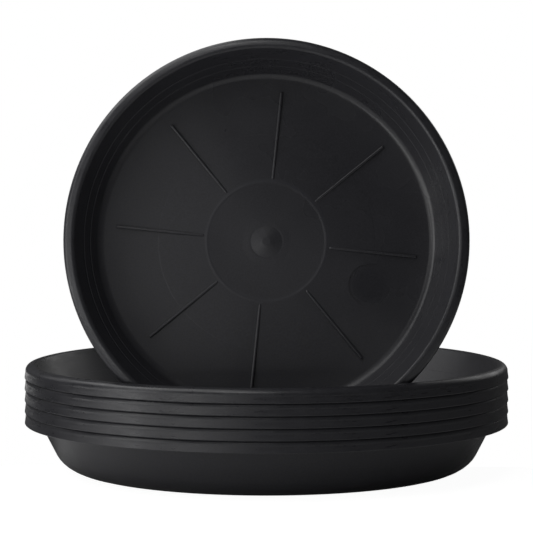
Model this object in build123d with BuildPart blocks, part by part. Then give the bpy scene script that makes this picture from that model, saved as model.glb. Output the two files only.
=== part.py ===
from build123d import *
from dataclasses import dataclass
from math import cos, radians, sin, sqrt, tan
import os

# Set of round plant saucers, each one thin moulding: five large ones nested in a
# stack, and a smaller one standing on its rim inside the top one.
# Millimetres. Origin at the centre of the lowest base, +Z up, the open face of the
# standing saucer towards -Y.

# ---- shared by both mouldings ----
wall = 1.5                 # floor and lower wall
wall_angle = 27.0          # wall, from vertical
lip_wall = 1.5             # under the crown and the skirt
skirt_edge = 1.3           # free edge of the skirt
edge_round = 0.5           # outer corner of that edge
flare_round = 6.0          # where the face begins to flare out to that edge
crown_round = 2.5          # inner corner of the crown
crown_slope = 15.0         # crown falls outwards
ledge = 0.2                # each of the two ledges inside the wall
rib_count = 8
rib_width = 1.4
bead_width = 1.6
bead_height = 0.3
mark_depth = 0.4           # round recess in the floor, left bare
mark_angle = -17.0         # from the first rib
dome_top_radius = 3.0
dome_top_round = 3.0
dome_foot_round = 6.0      # the dome's side sweeps out into the floor
round_margin = 0.1         # straight left at each end of the lip's inner round

# ---- large saucer, the stack ----
large_rim_radius = 160.0
large_height = 40.4
large_lip_width = 6.9
large_lip_drop = 9.5
large_shoulder_radius = 4.0
large_edge_flare = 0.6
large_flare_height = 4.2
large_upper_ledge_drop = 15.6
large_lower_ledge_drop = 23.4
large_corner_radius = 19.5
large_foot_width = 9.0
large_floor_rise = 1.5
large_rib_gap = 1.5
large_bead_radius = 47.5
large_dome_radius = 14.0
large_dome_height = 2.4
large_mark_radius = 17.0
large_mark_distance = 90.0

# ---- small saucer, the standing one ----
small_rim_radius = 125.0
small_height = 28.0
small_lip_width = 6.7
small_lip_drop = 7.5
small_shoulder_radius = 3.4
small_edge_flare = 0.5
small_flare_height = 3.0
small_upper_ledge_drop = 11.4
small_lower_ledge_drop = 17.8
small_corner_radius = 7.1
small_foot_width = 12.7
small_floor_rise = 1.3
small_rib_gap = 6.9
small_bead_radius = 37.2
small_dome_radius = 11.0
small_dome_height = 2.0
small_mark_radius = 13.3
small_mark_distance = 70.5

# ---- how they stand together ----
stack_count = 5
stack_turn = 50.0          # each saucer is dropped in at its own turn
seat_clearance = 0.3       # skirt edge over the shoulder below
lean = 6.0                 # standing saucer, back from vertical
stand_turn = -5.8          # its ribs, about its own axis
stand_back = 38.5          # its lowest point, from the rim of the stack
stand_clearance = 0.3      # its lowest point, over the floor


@dataclass
class Saucer:
    """Sizes of one moulding."""

    rim_radius: float
    height: float
    lip_width: float
    lip_drop: float
    shoulder_radius: float
    edge_flare: float
    flare_height: float
    upper_ledge_drop: float
    lower_ledge_drop: float
    corner_radius: float
    foot_width: float
    floor_rise: float
    rib_gap: float
    bead_radius: float
    dome_radius: float
    dome_height: float
    mark_radius: float
    mark_distance: float

    def inner_radius(self, drop, ledges=0):
        """Inside of the wall at a drop below the crown, past so many ledges."""
        return self.rim_radius - self.lip_width - drop * tan(radians(wall_angle)) - ledges * ledge

    def outer_radius(self, drop):
        """Outside of the wall at a drop below the crown."""
        return self.inner_radius(drop, ledges=2) + wall / cos(radians(wall_angle))

    def foot_radius(self):
        """Where the round corner ends and the flat foot begins."""
        half_turn = radians(90 - wall_angle) / 2
        return self.outer_radius(self.height) - self.corner_radius * tan(half_turn)

    def shoulder_centre(self):
        """Radius and drop of the centre of the shoulder's round."""
        slope = radians(crown_slope)
        centre_radius = self.rim_radius - self.edge_flare - self.shoulder_radius
        run = centre_radius - self.inner_radius(0)
        return centre_radius, (self.shoulder_radius + run * sin(slope)) / cos(slope)

    def nest_pitch(self):
        """Step from one nested saucer to the next: the skirt's free edge comes to
        rest on the shoulder of the saucer below."""
        centre_radius, centre_drop = self.shoulder_centre()
        reach = self.shoulder_radius + seat_clearance
        across = self.rim_radius - skirt_edge - centre_radius
        return self.lip_drop - centre_drop + sqrt(reach**2 - across**2)


large = Saucer(
    large_rim_radius, large_height, large_lip_width, large_lip_drop, large_shoulder_radius,
    large_edge_flare, large_flare_height, large_upper_ledge_drop, large_lower_ledge_drop, large_corner_radius,
    large_foot_width, large_floor_rise, large_rib_gap, large_bead_radius, large_dome_radius,
    large_dome_height, large_mark_radius, large_mark_distance,
)
small = Saucer(
    small_rim_radius, small_height, small_lip_width, small_lip_drop, small_shoulder_radius,
    small_edge_flare, small_flare_height, small_upper_ledge_drop, small_lower_ledge_drop, small_corner_radius,
    small_foot_width, small_floor_rise, small_rib_gap, small_bead_radius, small_dome_radius,
    small_dome_height, small_mark_radius, small_mark_distance,
)


def section_outline(size):
    """Half section as (radius, height, fillet), from the axis over the floor, the wall
    and the lip, and back along the underside."""
    height = size.height
    centre_radius, centre_drop = size.shoulder_centre()
    face_radius = size.rim_radius - size.edge_flare
    edge_height = height - size.lip_drop
    slope = tan(radians(crown_slope))
    crown_radius = size.inner_radius(0)
    lip_round = size.shoulder_radius - lip_wall
    hollow_drop = centre_drop - lip_round
    foot_inside = size.foot_radius() - size.foot_width
    raised_floor = wall + size.floor_rise
    bead_inside = size.bead_radius - bead_width / 2
    bead_outside = size.bead_radius + bead_width / 2
    bead_top = raised_floor + bead_height
    top = [
        (0, raised_floor + size.dome_height, 0),
        (dome_top_radius, raised_floor + size.dome_height, dome_top_round),
        (size.dome_radius, raised_floor, dome_foot_round),
        (bead_inside, raised_floor, 0),
        (bead_inside, bead_top, bead_height / 2),
        (bead_outside, bead_top, bead_height / 2),
        (bead_outside, raised_floor, 0),
        (foot_inside, wall, 0),
        (size.inner_radius(height - wall, ledges=2), wall, size.corner_radius - wall),
        (size.inner_radius(size.lower_ledge_drop, ledges=2), height - size.lower_ledge_drop, 0),
        (size.inner_radius(size.lower_ledge_drop, ledges=1), height - size.lower_ledge_drop, 0),
        (size.inner_radius(size.upper_ledge_drop, ledges=1), height - size.upper_ledge_drop, 0),
        (size.inner_radius(size.upper_ledge_drop), height - size.upper_ledge_drop, 0),
        (crown_radius, height, crown_round),
        (face_radius, height - (face_radius - crown_radius) * slope, size.shoulder_radius),
        (face_radius, edge_height + size.flare_height, flare_round),
        (size.rim_radius, edge_height, edge_round),
    ]
    underside = [
        (size.rim_radius - skirt_edge, edge_height, 0),
        (face_radius - lip_wall, height - centre_drop, 0),
        (face_radius - lip_wall, height - hollow_drop, lip_round - round_margin),
        (size.outer_radius(hollow_drop), height - hollow_drop, 0),
        (size.outer_radius(height), 0, size.corner_radius),
        (foot_inside, 0, 0),
        (size.bead_radius, size.floor_rise, 0),
        (size.dome_radius, size.floor_rise, dome_foot_round),
        (dome_top_radius, size.floor_rise + size.dome_height, dome_top_round),
        (0, size.floor_rise + size.dome_height, 0),
    ]
    return top + underside


def make_saucer(seat, size):
    """One saucer standing on the plane seat, its first rib along the plane's X."""
    section = Plane(origin=seat.origin, x_dir=seat.x_dir, z_dir=-seat.y_dir)
    outline = section_outline(size)
    rib_outside = size.foot_radius() - size.rib_gap
    rib_inside = size.bead_radius
    with BuildPart() as saucer:
        with BuildSketch(section):
            with BuildLine():
                FilletPolyline(
                    *[(radius, height) for radius, height, _ in outline],
                    radius=[fillet for _, _, fillet in outline],
                    close=True,
                )
            make_face()
        revolve(axis=Axis(seat.origin, seat.z_dir))

        # ribs: level on top, so they run out where the floor has risen to meet them
        with BuildSketch(seat.offset(wall)):
            with PolarLocations((rib_inside + rib_outside) / 2, rib_count):
                SlotOverall(rib_outside - rib_inside, rib_width)
        extrude(amount=size.floor_rise)

        # round recess, bare
        with BuildSketch(seat.offset(wall + size.floor_rise)):
            with PolarLocations(size.mark_distance, 1, start_angle=mark_angle):
                Circle(size.mark_radius)
        extrude(amount=-mark_depth - size.floor_rise, mode=Mode.SUBTRACT)
    return saucer


os.makedirs("parts", exist_ok=True)
pitch = large.nest_pitch()
print(f"nest pitch {pitch:.2f}, stack height {large.height + (stack_count - 1) * pitch:.1f}")

# the stack, each saucer turned a little further than the one below
for index in range(stack_count):
    turn = radians(index * stack_turn)
    place = Plane(origin=(0, 0, index * pitch), x_dir=(cos(turn), sin(turn), 0), z_dir=(0, 0, 1))
    nested = make_saucer(place, large)
    nested.part.label = f"saucer_{index + 1}"
    export_step(nested.part, f"parts/{nested.part.label}.step")

# the standing saucer: its skirt edge stands on the floor of the top one
floor_level = (stack_count - 1) * pitch + wall
tilt = radians(lean)
edge_height = small.height - small.lip_drop
lowest_y = stand_back - large_rim_radius
centre_y = lowest_y + edge_height * cos(tilt) + small_rim_radius * sin(tilt)
centre_z = floor_level + stand_clearance - edge_height * sin(tilt) + small_rim_radius * cos(tilt)
facing = Vector(0, -cos(tilt), sin(tilt))
across = Vector(1, 0, 0).rotate(Axis((0, 0, 0), facing), stand_turn)
upright = make_saucer(Plane(origin=(0, centre_y, centre_z), x_dir=across, z_dir=facing), small)
upright.part.label = "upright_saucer"
export_step(upright.part, "parts/upright_saucer.step")
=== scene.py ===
from math import cos, degrees, pi, radians, sin, tan

import bpy
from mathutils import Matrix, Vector


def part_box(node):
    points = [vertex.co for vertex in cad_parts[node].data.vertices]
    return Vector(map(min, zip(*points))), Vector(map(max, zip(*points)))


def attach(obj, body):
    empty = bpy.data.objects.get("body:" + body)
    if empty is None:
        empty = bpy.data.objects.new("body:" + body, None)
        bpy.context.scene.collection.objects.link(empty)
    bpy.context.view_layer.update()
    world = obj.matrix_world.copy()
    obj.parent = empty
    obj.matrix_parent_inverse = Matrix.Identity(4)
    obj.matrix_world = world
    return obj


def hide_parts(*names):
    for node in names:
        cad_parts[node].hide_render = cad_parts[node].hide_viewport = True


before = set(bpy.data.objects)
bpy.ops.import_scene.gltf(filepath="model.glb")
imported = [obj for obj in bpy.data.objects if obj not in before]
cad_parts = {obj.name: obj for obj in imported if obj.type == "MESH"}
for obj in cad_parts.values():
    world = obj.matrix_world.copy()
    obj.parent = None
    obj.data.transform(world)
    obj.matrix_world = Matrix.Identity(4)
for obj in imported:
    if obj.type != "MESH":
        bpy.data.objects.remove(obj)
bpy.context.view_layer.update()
print("frame loaded,", len(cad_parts), "saucers")

mm = 0.001


def toLinear(hexColour):
    # sRGB hex to the linear colour that the shaders take
    channels = [int(hexColour[i:i + 2], 16) / 255 for i in (1, 3, 5)]
    return [c / 12.92 if c <= 0.04045 else ((c + 0.055) / 1.055) ** 2.4 for c in channels] + [1]


def addNode(tree, kind, settings=None, links=None):
    # settings: attributes, and inputs by name or number; links: input to the socket that feeds it
    node = tree.nodes.new(kind)
    for name, value in (settings or {}).items():
        if isinstance(name, int) or name in node.inputs:
            node.inputs[name].default_value = value
        else:
            setattr(node, name, value)
    for name, socket in (links or {}).items():
        tree.links.new(socket, node.inputs[name])
    return node


def pickOnly(*pieces):
    bpy.ops.object.select_all(action="DESELECT")
    for piece in pieces:
        piece.select_set(True)
    bpy.context.view_layer.objects.active = pieces[0]


def extent(piece):
    # lowest and highest corner of a piece
    bpy.context.view_layer.update()
    corners = [piece.matrix_world @ Vector(c) for c in piece.bound_box]
    return (Vector([min(c[i] for c in corners) for i in range(3)]),
            Vector([max(c[i] for c in corners) for i in range(3)]))


def applyPlace(piece):
    # moves the piece's place and turn into its mesh
    pickOnly(piece)
    bpy.ops.object.transform_apply(location=True, rotation=True, scale=True)


def turnPiece(piece, angle, axis):
    # turns the mesh about the origin and leaves the object unturned
    piece.rotation_euler = [radians(angle) if name == axis else 0 for name in "XYZ"]
    applyPlace(piece)


def bring(piece, node):
    # same middle as the CAD node
    lowest, highest = extent(piece)
    nodeLowest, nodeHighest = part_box(node)
    piece.location = (nodeLowest + nodeHighest - lowest - highest) / 2
    applyPlace(piece)


# both mouldings, in millimetres and degrees
moulding = {
    "wall": 1.5,
    "wallAngle": 27,          # from vertical
    "lipWall": 1.5,
    "lipRootRound": 0.6,      # under the lip, where it leaves the wall
    "lipRoundShare": 0.9,     # of the hollow's round, which stops short of its neighbours
    "skirtEdge": 1.3,
    "edgeRound": 0.5,
    "edgeInnerRound": 0.25,
    "flareRound": 6.0,
    "shoulderShare": 0.99,    # of the shoulder's round, which stops short of its neighbours
    "crownRound": 2.5,
    "crownSlope": 15,         # crown falls outwards
    "ledge": 0.2,
    "ledgeRound": 0.09,
    "footRound": 1.0,
    "floorRound": 30,         # where the falling floor turns level
    "beadWidth": 2.6,
    "beadHeight": 0.11,
    "beadFlank": 0.4,         # of the width, each side
    "beadRound": 1.5,
    "stepHeight": 0.07,       # faint ring half way out on the floor
    "stepWidth": 0.35,
    "stepRound": 0.2,
    "domeTopRadius": 2.6,
    "domeTopRound": 5.0,
    "domeFootInset": 0.6,
    "domeFootEdge": 0.3,      # past the dome's radius
    "domeEdgeRound": 0.8,
    "swellWidth": 4.5,        # low swell round the dome
    "swellHeight": 0.24,
    "swellDip": 0.06,         # where the dome stands on it
    "swellRound": 20,
    "underDomeRound": 6,      # foot of the dome's hollow, underneath
    "underDomeTopRound": 2,
    "turns": 192,
    "arcStep": 9,             # degrees of a round to each segment
    "smoothAngle": 32,
}

largeSaucer = {
    "rimRadius": 159.99, "height": 40.4, "lipWidth": 6.89, "lipDrop": 9.5,
    "shoulderRadius": 4.0, "edgeFlare": 0.6, "flareHeight": 4.2,
    "upperLedgeDrop": 15.6, "lowerLedgeDrop": 23.4, "cornerRadius": 19.5,
    "footWidth": 9.0, "floorRise": 1.5, "beadRadius": 47.5, "stepRadius": 86,
    "domeRadius": 14, "domeHeight": 2.4, "domeFootRound": 4,
    "ribGap": 1.5, "markRadius": 17, "markDistance": 90,
}

smallSaucer = {
    "rimRadius": 124.99, "height": 28, "lipWidth": 6.69, "lipDrop": 7.5,
    "shoulderRadius": 3.4, "edgeFlare": 0.5, "flareHeight": 3.0,
    "upperLedgeDrop": 11.4, "lowerLedgeDrop": 17.8, "cornerRadius": 7.1,
    "footWidth": 12.7, "floorRise": 1.3, "beadRadius": 37.2, "stepRadius": 67.2,
    "domeRadius": 10.4, "domeHeight": 2.0, "domeFootRound": 3,
    "ribGap": 6.9, "markRadius": 13.1, "markDistance": 69.6,
}

# nearer than this, two points are one
sameVertex = 0.001 * mm
samePlace = 0.002 * mm


def innerRadius(size, drop, ledges=0):
    # inside of the wall at a drop below the crown, past so many ledges
    return (size["rimRadius"] - size["lipWidth"] - drop * tan(radians(moulding["wallAngle"]))
            - ledges * moulding["ledge"])


def outerRadius(size, drop):
    return innerRadius(size, drop, 2) + moulding["wall"] / cos(radians(moulding["wallAngle"]))


def footRadius(size):
    halfTurn = radians(90 - moulding["wallAngle"]) / 2
    return outerRadius(size, size["height"]) - size["cornerRadius"] * tan(halfTurn)


def sectionCorners(size):
    # half section as (radius, height, round): over the top from the axis, back underneath
    wall, ledgeRound = moulding["wall"], moulding["ledgeRound"]
    height = size["height"]
    slope = radians(moulding["crownSlope"])
    shoulder = size["shoulderRadius"]
    faceRadius = size["rimRadius"] - size["edgeFlare"]
    edgeHeight = height - size["lipDrop"]
    crownRadius = innerRadius(size, 0)
    run = faceRadius - shoulder - crownRadius
    centreDrop = (shoulder + run * sin(slope)) / cos(slope)
    lipRound = shoulder - moulding["lipWall"]
    lipInside = faceRadius - moulding["lipWall"]
    hollowDrop = centreDrop - lipRound
    footInside = footRadius(size) - size["footWidth"]

    floor = wall + size["floorRise"]
    beadInside = size["beadRadius"] - moulding["beadWidth"] / 2
    beadOutside = size["beadRadius"] + moulding["beadWidth"] / 2
    beadFlank = moulding["beadWidth"] * moulding["beadFlank"]
    beadTop, beadRound = floor + moulding["beadHeight"], moulding["beadRound"]
    fall = size["floorRise"] / (footInside - beadOutside)        # the floor falls past the bead
    stepFloor = floor - fall * (size["stepRadius"] - beadOutside)
    domeTop = floor + size["domeHeight"]
    swellTop = floor + moulding["swellHeight"]
    upperLedge = height - size["upperLedgeDrop"]
    lowerLedge = height - size["lowerLedgeDrop"]

    dome = [
        (0, domeTop, 0),
        (moulding["domeTopRadius"], domeTop, moulding["domeTopRound"]),
        (size["domeRadius"] - moulding["domeFootInset"], swellTop - moulding["swellDip"],
         size["domeFootRound"]),
        (size["domeRadius"] + moulding["domeFootEdge"], swellTop, moulding["domeEdgeRound"]),
        (size["domeRadius"] + moulding["swellWidth"], floor, moulding["swellRound"]),
    ]
    floorLine = [
        (beadInside, floor, beadRound),
        (beadInside + beadFlank, beadTop, beadRound),
        (beadOutside - beadFlank, beadTop, beadRound),
        (beadOutside, floor, beadRound),
        (size["stepRadius"], stepFloor, moulding["stepRound"]),
        (size["stepRadius"] + moulding["stepWidth"], stepFloor - moulding["stepHeight"],
         moulding["stepRound"]),
        (footInside, wall, moulding["floorRound"]),
    ]
    wallLine = [
        (innerRadius(size, height - wall, 2), wall, size["cornerRadius"] - wall),
        (innerRadius(size, size["lowerLedgeDrop"], 2), lowerLedge, ledgeRound),
        (innerRadius(size, size["lowerLedgeDrop"], 1), lowerLedge, ledgeRound),
        (innerRadius(size, size["upperLedgeDrop"], 1), upperLedge, ledgeRound),
        (innerRadius(size, size["upperLedgeDrop"]), upperLedge, ledgeRound),
    ]
    lip = [
        (crownRadius, height, moulding["crownRound"]),
        (faceRadius, height - (faceRadius - crownRadius) * tan(slope),
         shoulder * moulding["shoulderShare"]),
        (faceRadius, edgeHeight + size["flareHeight"], moulding["flareRound"]),
        (size["rimRadius"], edgeHeight, moulding["edgeRound"]),
        (size["rimRadius"] - moulding["skirtEdge"], edgeHeight, moulding["edgeInnerRound"]),
        (lipInside, height - centreDrop, 0),
        (lipInside, height - hollowDrop, lipRound * moulding["lipRoundShare"]),
        (outerRadius(size, hollowDrop), height - hollowDrop, moulding["lipRootRound"]),
    ]
    underside = [
        (outerRadius(size, height), 0, size["cornerRadius"]),
        (footInside, 0, moulding["footRound"]),
        (size["beadRadius"], size["floorRise"], 0),
        (size["domeRadius"], size["floorRise"], moulding["underDomeRound"]),
        (moulding["domeTopRadius"], size["floorRise"] + size["domeHeight"],
         moulding["underDomeTopRound"]),
        (0, size["floorRise"] + size["domeHeight"], 0),
    ]
    return dome + floorLine + wallLine + lip + underside


def drawSection(name, corners):
    # one point extruded from corner to corner, then each corner rounded
    bpy.ops.object.select_all(action="DESELECT")
    bpy.ops.mesh.primitive_plane_add(size=mm, location=(0, 0, 0))
    section = bpy.context.object
    section.name = section.data.name = name
    bpy.ops.object.mode_set(mode="EDIT")
    bpy.ops.mesh.select_mode(type="VERT")
    bpy.ops.mesh.select_all(action="SELECT")
    bpy.ops.mesh.merge(type="CENTER")
    bpy.ops.transform.translate(value=(corners[0][0] * mm, 0, corners[0][1] * mm))
    for here, there in zip(corners, corners[1:]):
        step = ((there[0] - here[0]) * mm, 0, (there[1] - here[1]) * mm)
        bpy.ops.mesh.extrude_vertices_move(TRANSFORM_OT_translate={"value": step})
    for before, corner, after in zip(corners, corners[1:], corners[2:]):
        if not corner[2]:
            continue
        back = Vector((before[0] - corner[0], before[1] - corner[1]))
        ahead = Vector((after[0] - corner[0], after[1] - corner[1]))
        halfAngle = back.angle(ahead) / 2
        reach = corner[2] / tan(halfAngle)                       # from the corner to the round
        sweep = degrees(pi - 2 * halfAngle)
        place = Vector((corner[0] * mm, 0, corner[1] * mm))
        bpy.ops.mesh.select_all(action="DESELECT")
        bpy.ops.object.mode_set(mode="OBJECT")
        for vertex in section.data.vertices:
            vertex.select = (vertex.co - place).length < samePlace
        bpy.ops.object.mode_set(mode="EDIT")
        bpy.ops.mesh.bevel(offset=reach * mm, offset_type="OFFSET", affect="VERTICES", profile=0.5,
                           segments=max(2, round(sweep / moulding["arcStep"])),
                           clamp_overlap=False)
    bpy.ops.object.mode_set(mode="OBJECT")
    return section


def spinSection(section):
    pickOnly(section)
    bpy.ops.object.mode_set(mode="EDIT")
    bpy.ops.mesh.select_all(action="SELECT")
    bpy.ops.mesh.spin(steps=moulding["turns"], angle=2 * pi, center=(0, 0, 0), axis=(0, 0, 1))
    bpy.ops.mesh.select_all(action="SELECT")
    bpy.ops.mesh.remove_doubles(threshold=sameVertex)
    bpy.ops.mesh.normals_make_consistent(inside=False)
    bpy.ops.object.mode_set(mode="OBJECT")


# the floor's ribs and its bare round mark, in millimetres and degrees
ribs = {
    "count": 8,
    "width": 2.0,
    "sunk": 0.05,             # below the floor's outer level
    "start": 1.8,             # out from the middle of the bead
    "proud": 0.36,            # top, over the raised middle of the floor
    "crown": [(0.08, 0.3), (0.16, 0.24), (0.24, 0.18), (0.26, 0.08)],   # steps in and up
    "endShare": 0.45,         # of the width, rounded off at each corner of the ends
    "endSegments": 6,
}

mark = {
    "angle": -17,             # from the first rib
    "depth": 0.4,
    "sides": 72,
    "plug": 4,                # height of the plug that cuts it
}


def cutOrAdd(piece, tool, operation):
    pickOnly(piece)
    boolean = piece.modifiers.new(operation, "BOOLEAN")
    boolean.operation = operation
    boolean.solver = "MANIFOLD"
    boolean.object = tool
    bpy.ops.object.modifier_apply(modifier=boolean.name)
    bpy.data.objects.remove(tool)


def pickIn(piece, kind, chosen):
    # selects in edit mode, by a rule on each edge or face
    bpy.ops.object.mode_set(mode="EDIT")
    bpy.ops.mesh.select_all(action="DESELECT")
    bpy.ops.mesh.select_mode(type=kind)
    bpy.ops.object.mode_set(mode="OBJECT")
    for element in piece.data.edges if kind == "EDGE" else piece.data.polygons:
        element.select = chosen(element)
    bpy.ops.object.mode_set(mode="EDIT")


def addRibs(piece, size):
    inside = size["beadRadius"] + ribs["start"]
    outside = footRadius(size) - size["ribGap"]
    middle = (inside + outside) / 2
    bottom = moulding["wall"] - ribs["sunk"]
    top = moulding["wall"] + size["floorRise"] + ribs["proud"] - sum(up for _, up in ribs["crown"])
    length, width, tall = outside - inside, ribs["width"], top - bottom
    bpy.ops.object.select_all(action="DESELECT")
    bpy.ops.mesh.primitive_cube_add(size=1, location=(middle * mm, 0, (bottom + top) / 2 * mm),
                                    scale=(length * mm, width * mm, tall * mm))
    bar = bpy.context.object
    bpy.ops.object.transform_apply(location=True, rotation=True, scale=True)

    def standsUp(edge):
        a, b = (bar.data.vertices[i].co for i in edge.vertices)
        return abs(a.z - b.z) > tall / 2 * mm

    pickIn(bar, "EDGE", standsUp)
    bpy.ops.mesh.bevel(offset=width * ribs["endShare"] * mm, segments=ribs["endSegments"],
                       affect="EDGES")
    pickIn(bar, "FACE", lambda face: face.normal.z > 0.9)        # its top
    for inwards, upwards in ribs["crown"]:
        bpy.ops.mesh.extrude_region_move(TRANSFORM_OT_translate={"value": (0, 0, upwards * mm)})
        bpy.ops.transform.resize(value=(1 - 2 * inwards / length, 1 - 2 * inwards / width, 1),
                                 center_override=(middle * mm, 0, 0))
        length, width = length - 2 * inwards, width - 2 * inwards
    bpy.ops.object.mode_set(mode="OBJECT")
    bars = [bar]
    for index in range(1, ribs["count"]):
        pickOnly(bar)
        bpy.ops.object.duplicate()
        bars.append(bpy.context.object)
        turnPiece(bars[-1], index * 360 / ribs["count"], "Z")
    pickOnly(*bars)
    bpy.ops.object.join()
    cutOrAdd(piece, bar, "UNION")


def addMark(piece, size):
    footInside = footRadius(size) - size["footWidth"]
    fall = size["floorRise"] / (footInside - size["beadRadius"])
    floorThere = (moulding["wall"] + fall * (footInside - size["markDistance"])
                  - moulding["stepHeight"] / 2)
    bpy.ops.object.select_all(action="DESELECT")
    bpy.ops.mesh.primitive_cylinder_add(vertices=mark["sides"], radius=size["markRadius"] * mm,
                                        depth=mark["plug"] * mm, location=(0, 0, 0))
    plug = bpy.context.object
    turnPiece(plug, degrees(fall), "Y")                          # lies along the falling floor
    plug.location = (size["markDistance"] * mm, 0,
                     (floorThere - mark["depth"] + mark["plug"] / 2) * mm)
    applyPlace(plug)
    turnPiece(plug, mark["angle"], "Z")
    cutOrAdd(piece, plug, "DIFFERENCE")


def coat(piece, material):
    # one finish on every face, whatever slots the ribs and the mark brought along
    piece.data.materials.clear()
    piece.data.materials.append(material)
    for polygon in piece.data.polygons:
        polygon.material_index = 0


def makeMould(name, size):
    mould = drawSection(name, sectionCorners(size))
    spinSection(mould)
    addRibs(mould, size)
    addMark(mould, size)
    pickOnly(mould)
    bpy.ops.object.shade_smooth_by_angle(angle=radians(moulding["smoothAngle"]))
    print(name, "moulded,", len(mould.data.polygons), "faces")
    return mould


# Black polypropylene, injection moulded: carbon black all through, a satin skin with a
# fine tool grain, patches of more and less lustre where the melt flowed and cooled
# unevenly, streaks round the lips from the turned mould, and a painted highlight: the top of the
# bead painted paler for the light that catches it.
plastic = {
    "base": "#252528",
    "cloud": "#2f2f33",
    "beadHighlight": "#313135",      # painted highlight: paler colour on top of the bead
    "speckle": 0.45,          # of the step from base to cloud, grain by grain
    "speckleGrain": (0.3, 0.7),               # the grain's noise that gives that step, down and up
    "lustre": (0.18, 0.46),   # roughness, from the shiny patches to the dull ones
    "lustrePatches": (0.2, 0.75),             # the patches' noise that gives those two
    "ior": 1.49,
    "cloudSize": 42,          # mm
    "flowAngle": 47,          # degrees from the first rib: the side that set shinier
    "flowEdge": (-0.05, 0.4),                 # of the rim's radius: where it starts and is full
    "flowLevel": (0.75, 0.25),                # from dull to shiny
    "flowShare": 0.5,         # of the patches, the rest is cloud
    "streakLength": 13,       # mm, round the saucer
    "streakWidth": 2.2,       # mm
    "streakEdge": (14, 8),    # mm in from the rim: where the streaks start and are full
    "streakShare": 0.8,       # of the patches on the lip
    "grainSize": 1.1,         # mm; the real grain is about 0.3, too fine to show
    "grainHeight": 0.045,     # mm
    "turnedSize": 0.9,        # mm, rings left by the turned mould
    "turnedLength": 2.5,      # patches of rings, to a radius
    "turnedHeight": 0.012,    # mm
    "beadHighlightWidth": 1.9,       # mm, either side of the middle of the bead: width of the painted highlight
    "markLustre": 0.15,       # roughness: the bare round mark is smoother
    "markEdge": (0.55, 1.02),                 # of its radius: where it starts to fade and is gone
}


def stretchedNoise(tree, around, along, length, depth, detail):
    # noise drawn out round the axis: so many patches to a radius, so deep in metres
    spread = addNode(tree, "ShaderNodeVectorMath", {"operation": "SCALE", "Scale": length},
                     {"Vector": around})
    parts = addNode(tree, "ShaderNodeSeparateXYZ", None, {"Vector": spread.outputs[0]})
    level = addNode(tree, "ShaderNodeMath", {"operation": "MULTIPLY", 1: 1 / depth}, {0: along})
    place = addNode(tree, "ShaderNodeCombineXYZ", None,
                    {"X": parts.outputs["X"], "Y": parts.outputs["Y"], "Z": level.outputs[0]})
    return addNode(tree, "ShaderNodeTexNoise",
                   {"Scale": 1.0, "Detail": detail, "Roughness": 0.55},
                   {"Vector": place.outputs[0]})


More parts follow.
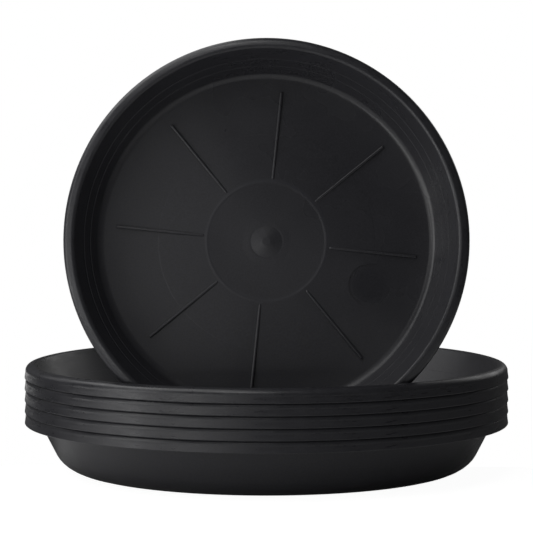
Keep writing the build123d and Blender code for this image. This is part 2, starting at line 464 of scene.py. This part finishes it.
def makePlastic(name, size, centre, lean, turn):
    # centre, lean and turn bring the pattern into the saucer's own axes, from its middle
    material = bpy.data.materials.new(name)
    material.use_nodes = True
    tree = material.node_tree
    tree.nodes.clear()
    rim = size["rimRadius"]
    where = addNode(tree, "ShaderNodeTexCoord")
    local = addNode(tree, "ShaderNodeMapping",
                    {"vector_type": "TEXTURE", "Location": centre,
                     "Rotation": (radians(lean), 0, 0)},
                    {"Vector": where.outputs["Object"]})
    parts = addNode(tree, "ShaderNodeSeparateXYZ", None, {"Vector": local.outputs[0]})
    flat = addNode(tree, "ShaderNodeCombineXYZ", None,
                   {"X": parts.outputs["X"], "Y": parts.outputs["Y"]})
    around = addNode(tree, "ShaderNodeVectorMath", {"operation": "NORMALIZE"},
                     {"Vector": flat.outputs[0]})
    reach = addNode(tree, "ShaderNodeVectorMath", {"operation": "LENGTH"},
                    {"Vector": flat.outputs[0]})
    along = addNode(tree, "ShaderNodeMath", {"operation": "ADD"},
                    {0: reach.outputs["Value"], 1: parts.outputs["Z"]})

    # noises
    clouds = addNode(tree, "ShaderNodeTexNoise",
                     {"Scale": 1 / (plastic["cloudSize"] * mm), "Detail": 2.5, "Roughness": 0.5},
                     {"Vector": local.outputs[0]})
    streaks = stretchedNoise(tree, around.outputs[0], along.outputs[0],
                             rim / plastic["streakLength"], plastic["streakWidth"] * mm, 3.0)
    rings = stretchedNoise(tree, around.outputs[0], along.outputs[0],
                           plastic["turnedLength"], plastic["turnedSize"] * mm, 1.0)
    grain = addNode(tree, "ShaderNodeTexNoise",
                    {"Scale": 1 / (plastic["grainSize"] * mm), "Detail": 2.0, "Roughness": 0.6},
                    {"Vector": local.outputs[0]})

    # patches: clouds and the shinier side on the floor and wall, streaks on the lip
    flowTurn = radians(turn + plastic["flowAngle"])
    flowPlace = addNode(tree, "ShaderNodeVectorMath",
                        {"operation": "DOT_PRODUCT", 1: (cos(flowTurn), sin(flowTurn), 0)},
                        {0: flat.outputs[0]})
    flow = addNode(tree, "ShaderNodeMapRange",
                   {"interpolation_type": "SMOOTHSTEP",
                    "From Min": plastic["flowEdge"][0] * rim * mm,
                    "From Max": plastic["flowEdge"][1] * rim * mm,
                    "To Min": plastic["flowLevel"][0], "To Max": plastic["flowLevel"][1]},
                   {"Value": flowPlace.outputs["Value"]})
    floorPatches = addNode(tree, "ShaderNodeMix", {"data_type": "FLOAT", 0: plastic["flowShare"]},
                           {2: clouds.outputs["Fac"], 3: flow.outputs[0]})
    lipNear = addNode(tree, "ShaderNodeMapRange",
                      {"From Min": (rim - plastic["streakEdge"][0]) * mm,
                       "From Max": (rim - plastic["streakEdge"][1]) * mm,
                       "To Min": 0.0, "To Max": plastic["streakShare"]},
                      {"Value": reach.outputs["Value"]})
    patches = addNode(tree, "ShaderNodeMix", {"data_type": "FLOAT"},
                      {0: lipNear.outputs[0], 2: floorPatches.outputs[0],
                       3: streaks.outputs["Fac"]})

    # 1 on the middle of the bead (where the highlight is painted) and within the mark, 0 away from
    # them
    beadMiddle = addNode(tree, "ShaderNodeMath",
                         {"operation": "SUBTRACT", 1: size["beadRadius"] * mm},
                         {0: reach.outputs["Value"]})
    beadAway = addNode(tree, "ShaderNodeMath", {"operation": "ABSOLUTE"},
                       {0: beadMiddle.outputs[0]})
    beadHighlightMask = addNode(tree, "ShaderNodeMapRange",
                       {"From Min": 0.0, "From Max": plastic["beadHighlightWidth"] * mm,
                        "To Min": 1.0, "To Max": 0.0}, {"Value": beadAway.outputs[0]})
    markTurn, markDistance = radians(turn + mark["angle"]), size["markDistance"] * mm
    markPlace = (markDistance * cos(markTurn), markDistance * sin(markTurn), 0)
    markAway = addNode(tree, "ShaderNodeVectorMath", {"operation": "DISTANCE", 1: markPlace},
                       {0: flat.outputs[0]})
    markNear = addNode(tree, "ShaderNodeMapRange",
                       {"From Min": size["markRadius"] * plastic["markEdge"][0] * mm,
                        "From Max": size["markRadius"] * plastic["markEdge"][1] * mm,
                        "To Min": 1.0, "To Max": 0.0}, {"Value": markAway.outputs["Value"]})

    # colour
    speckle = addNode(tree, "ShaderNodeMapRange",
                      {"From Min": plastic["speckleGrain"][0],
                       "From Max": plastic["speckleGrain"][1],
                       "To Min": -plastic["speckle"], "To Max": plastic["speckle"]},
                      {"Value": grain.outputs["Fac"]})
    shade = addNode(tree, "ShaderNodeMath", {"operation": "ADD"},
                    {0: patches.outputs[0], 1: speckle.outputs[0]})
    skin = addNode(tree, "ShaderNodeMix",
                   {"data_type": "RGBA", 6: toLinear(plastic["base"]),
                    7: toLinear(plastic["cloud"])},
                   {"Factor": shade.outputs[0]})
    # painted highlight: the top of the bead is mixed paler, for the light that catches it
    colour = addNode(tree, "ShaderNodeMix", {"data_type": "RGBA", 7: toLinear(plastic["beadHighlight"])},
                     {"Factor": beadHighlightMask.outputs[0], 6: skin.outputs[2]})

    # lustre and relief
    lustre = addNode(tree, "ShaderNodeMapRange",
                     {"From Min": plastic["lustrePatches"][0],
                      "From Max": plastic["lustrePatches"][1],
                      "To Min": plastic["lustre"][0], "To Max": plastic["lustre"][1]},
                     {"Value": patches.outputs[0]})
    rough = addNode(tree, "ShaderNodeMix", {"data_type": "FLOAT", 3: plastic["markLustre"]},
                    {0: markNear.outputs[0], 2: lustre.outputs[0]})
    ringBump = addNode(tree, "ShaderNodeBump",
                       {"Strength": 1.0, "Distance": plastic["turnedHeight"] * mm},
                       {"Height": rings.outputs["Fac"]})
    grainBump = addNode(tree, "ShaderNodeBump",
                        {"Strength": 1.0, "Distance": plastic["grainHeight"] * mm},
                        {"Height": grain.outputs["Fac"], "Normal": ringBump.outputs[0]})
    shader = addNode(tree, "ShaderNodeBsdfPrincipled", {"IOR": plastic["ior"]},
                     {"Base Color": colour.outputs[2], "Roughness": rough.outputs[0],
                      "Normal": grainBump.outputs[0]})
    addNode(tree, "ShaderNodeOutputMaterial", None, {"Surface": shader.outputs[0]})
    return material


# the nested stack and the saucer that stands in it
stand = {
    "stackTurn": 50,          # degrees, each saucer over the one below
    "lean": 6,                # back from vertical
    "turn": -5.8,             # ribs, about its own axis
}

largeMould = makeMould("largeMould", largeSaucer)
smallMould = makeMould("smallMould", smallSaucer)

for index in range(5):
    node = "saucer_%d" % (index + 1)
    pickOnly(largeMould)
    bpy.ops.object.duplicate()
    saucer = bpy.context.object
    saucer.name = saucer.data.name = node + "_moulding"
    turnPiece(saucer, index * stand["stackTurn"], "Z")
    bring(saucer, node)
    lowest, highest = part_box(node)
    coat(saucer, makePlastic("satinPolypropylene%d" % (index + 1), largeSaucer,
                             (lowest + highest) / 2, 0, index * stand["stackTurn"]))
    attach(saucer, node)
    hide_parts(node)
bpy.data.objects.remove(largeMould)
print("stack placed")

upright = smallMould
upright.name = upright.data.name = "upright_saucer_moulding"
turnPiece(upright, stand["turn"], "Z")
turnPiece(upright, 90 - stand["lean"], "X")
bring(upright, "upright_saucer")
lowest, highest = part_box("upright_saucer")
coat(upright, makePlastic("satinPolypropyleneUpright", smallSaucer,
                          (lowest + highest) / 2, 90 - stand["lean"], stand["turn"]))
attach(upright, "upright_saucer")
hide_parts("upright_saucer")
print("standing saucer placed")


# the studio, in metres: matt white paper below and behind, which the camera sees as plain white
studio = {
    "paper": "#e7e7e7",
    "shadowShare": 0.25,      # of the lit paper, over the white that the camera sees
    "white": 0.96,
    "floor": ((0, -0.5, -0.0005), 6, 6),      # middle, width, depth
    "backdrop": ((0, 1.6, 1.5), 6, 3.2),      # middle, width, height
    "backdropLight": 0.14,    # what the plastic sees of the backdrop
    "air": 0.06,              # and of the rest of the room
    "aim": (0, 0, 0.12),
    "lamps": {                # place, width, height, watts
        "keyLeft": ((-1.7, -0.9, 0.9), 0.8, 0.8, 3.3),
        "leftLow": ((-1.7, -0.8, 0.3), 0.8, 0.4, 2.7),
        "leftFrontLow": ((-1.1, -1.6, 0.3), 0.7, 0.4, 1.5),
        "nearLeft": ((-0.6, -2.3, 0.6), 0.6, 0.6, 1.2),
        "leftBack": ((-1.5, 0.9, 1.0), 0.8, 0.8, 1.2),
        "rightBack": ((1.1, 1.5, 0.9), 1.2, 0.8, 2.4),
        "highLeft": ((-1.3, 0.1, 1.5), 0.8, 0.8, 2.5),
        "highFront": ((-0.3, -1.2, 1.7), 0.7, 0.7, 4.2),
    },
    "overhead": ((-0.75, 0, 1.2), 1.2, 1.6, 10.0),
    "cards": {                # light off the table: place, width, depth, watts
        "cardLeft": ((-0.6, -0.95, 0.004), 0.7, 0.7, 5.2),
        "cardFarLeft": ((-0.95, -0.35, 0.004), 0.7, 0.7, 6.4),
        "cardBack": ((-0.2, 0.75, 0.004), 0.9, 0.6, 1.3),
    },
}


def addPaper(name, place, width, height, turn, shaderKind, shaderSettings):
    # what the camera sees is white; everything else sees plain paper
    bpy.ops.object.select_all(action="DESELECT")
    bpy.ops.mesh.primitive_plane_add(size=1, location=place, rotation=(radians(turn), 0, 0),
                                     scale=(width, height, 1))
    sheet = bpy.context.object
    sheet.name = sheet.data.name = name
    bpy.ops.object.transform_apply(location=True, rotation=True, scale=True)
    material = bpy.data.materials.new(name)
    material.use_nodes = True
    tree = material.node_tree
    tree.nodes.clear()
    plain = addNode(tree, shaderKind, shaderSettings)
    lit = addNode(tree, "ShaderNodeBsdfDiffuse", {"Color": [studio["shadowShare"]] * 3 + [1]})
    glow = addNode(tree, "ShaderNodeEmission", {"Strength": studio["white"]})
    seen = addNode(tree, "ShaderNodeAddShader", None, {0: lit.outputs[0], 1: glow.outputs[0]})
    path = addNode(tree, "ShaderNodeLightPath")
    chosen = addNode(tree, "ShaderNodeMixShader", None,
                     {"Fac": path.outputs["Is Camera Ray"],
                      1: plain.outputs[0], 2: seen.outputs[0]})
    addNode(tree, "ShaderNodeOutputMaterial", None, {"Surface": chosen.outputs[0]})
    sheet.data.materials.append(material)


addPaper("paperFloor", *studio["floor"], 0,
         "ShaderNodeBsdfDiffuse", {"Color": toLinear(studio["paper"])})
addPaper("paperBackdrop", *studio["backdrop"], 90,
         "ShaderNodeEmission", {"Strength": studio["backdropLight"]})

world = bpy.data.worlds.new("studio")
bpy.context.scene.world = world
world.use_nodes = True
tree = world.node_tree
tree.nodes.clear()
path = addNode(tree, "ShaderNodeLightPath")
strength = addNode(tree, "ShaderNodeMapRange", {"To Min": studio["air"], "To Max": 1.0},
                   {"Value": path.outputs["Is Camera Ray"]})
air = addNode(tree, "ShaderNodeBackground", {"Color": (1, 1, 1, 1)},
              {"Strength": strength.outputs[0]})
addNode(tree, "ShaderNodeOutputWorld", None, {"Surface": air.outputs[0]})


def addLamp(name, place, width, height, watts, aim):
    lamp = bpy.data.lights.new(name, "AREA")
    lamp.shape = "RECTANGLE"
    lamp.size, lamp.size_y, lamp.energy = width, height, watts
    holder = bpy.data.objects.new(name, lamp)
    bpy.context.scene.collection.objects.link(holder)
    holder.location = place
    holder.rotation_euler = (Vector(aim) - Vector(place)).to_track_quat("-Z", "Y").to_euler()
    holder.visible_camera = False


for name, lampSettings in studio["lamps"].items():
    addLamp(name, *lampSettings, studio["aim"])
straightDown = (*studio["overhead"][0][:2], 0)
addLamp("overhead", *studio["overhead"], straightDown)
for name, cardSettings in studio["cards"].items():
    straightUp = Vector(cardSettings[0]) + Vector((0, 0, 1))
    addLamp(name, *cardSettings, straightUp)

view = {
    "place": (0, -1.520, 0.2263),
    "tilt": 3.506,            # degrees, down
    "lens": 155.24,           # mm
    "sensor": 36,             # mm
}
camera = bpy.data.cameras.new("camera")
camera.lens, camera.sensor_width = view["lens"], view["sensor"]
cameraHolder = bpy.data.objects.new("camera", camera)
bpy.context.scene.collection.objects.link(cameraHolder)
cameraHolder.location = view["place"]
cameraHolder.rotation_euler = (radians(90 - view["tilt"]), 0, 0)
bpy.context.scene.camera = cameraHolder

bpy.context.scene.view_settings.view_transform = "Standard"
print("studio ready")
